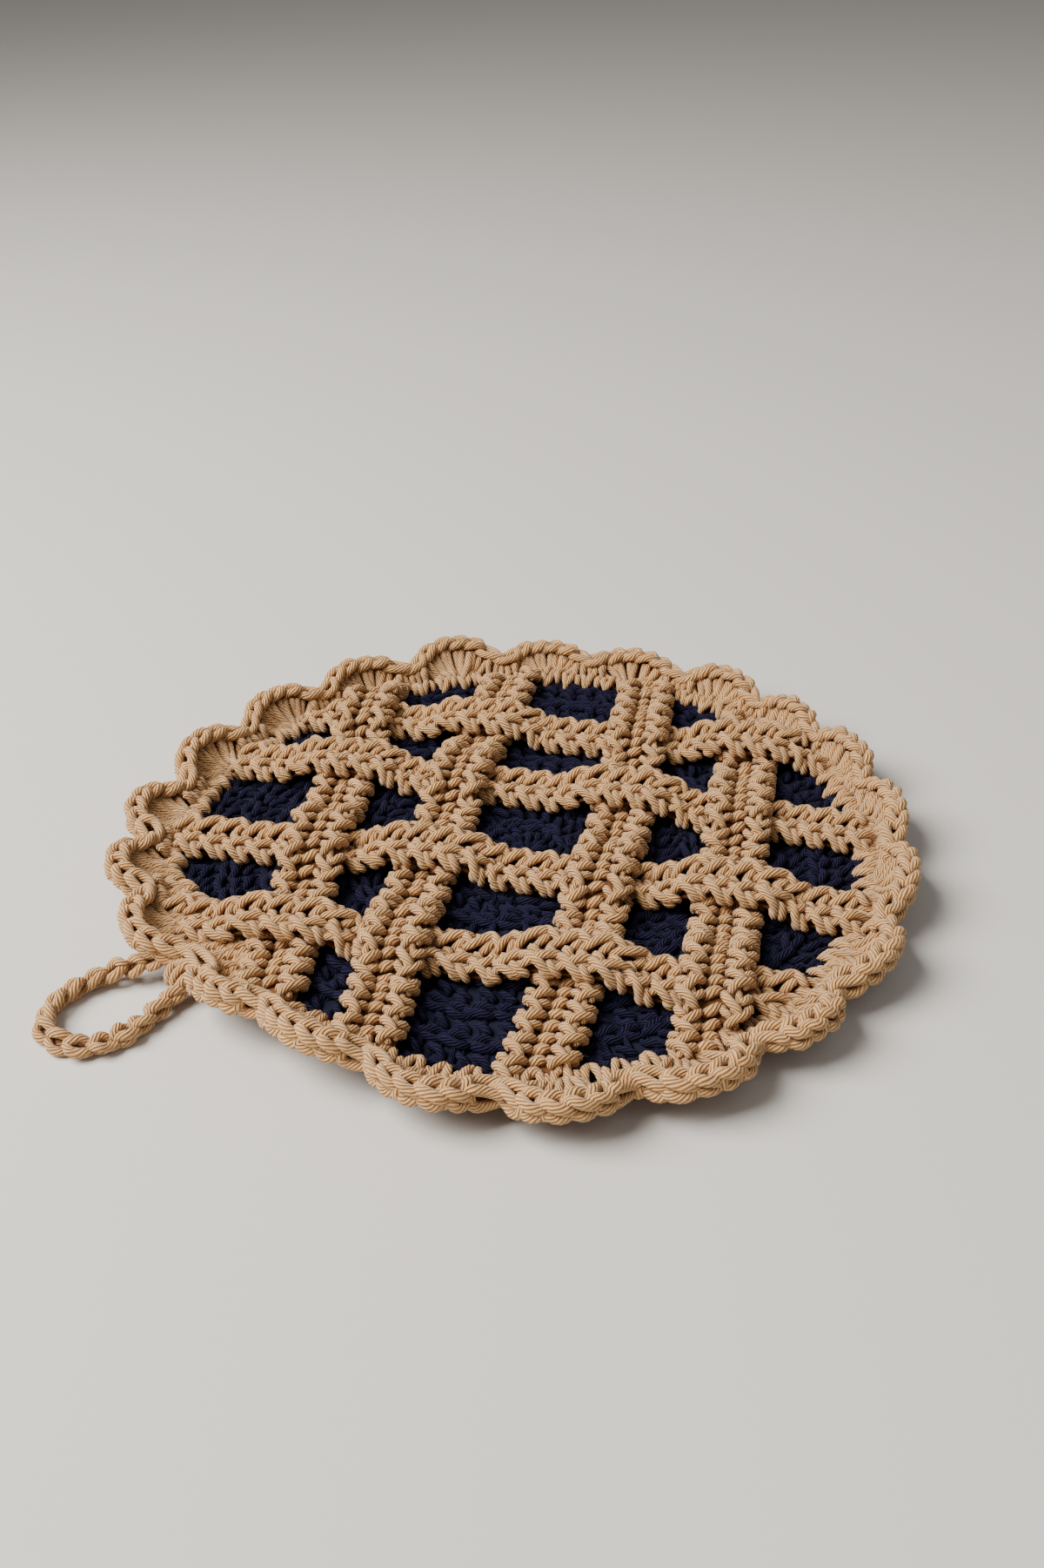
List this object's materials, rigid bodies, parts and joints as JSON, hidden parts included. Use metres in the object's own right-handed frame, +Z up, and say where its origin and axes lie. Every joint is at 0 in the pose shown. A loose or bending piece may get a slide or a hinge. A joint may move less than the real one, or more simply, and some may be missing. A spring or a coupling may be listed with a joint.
{
  "type": "crochet trivet",
  "caption": "Round crochet trivet like a lattice-topped pie: dark round mat, woven tan strips on top, scalloped cupped edge and a chain loop for hanging.",
  "frame": {"origin": "centre of the navy round's underside, on the surface that the trivet rests on", "axes": "+Z up through the trivet, Y along the strips named a, X along the strips named b; the hanging loop points towards -X and -Y"},
  "size_m": [0.1984, 0.1975, 0.0156],
  "materials": {
    "tan_yarn": "matte",
    "navy_yarn": "matte"
  },
  "bodies": {
    "root": {"navy_round": "navy_yarn", "border": "tan_yarn", "strip_a1": "tan_yarn", "strip_a2": "tan_yarn", "strip_a3": "tan_yarn", "strip_a4": "tan_yarn", "strip_b1": "tan_yarn", "strip_b2": "tan_yarn", "strip_b3": "tan_yarn", "strip_b4": "tan_yarn", "hanging_loop": "tan_yarn"}
  },
  "joints": []
}
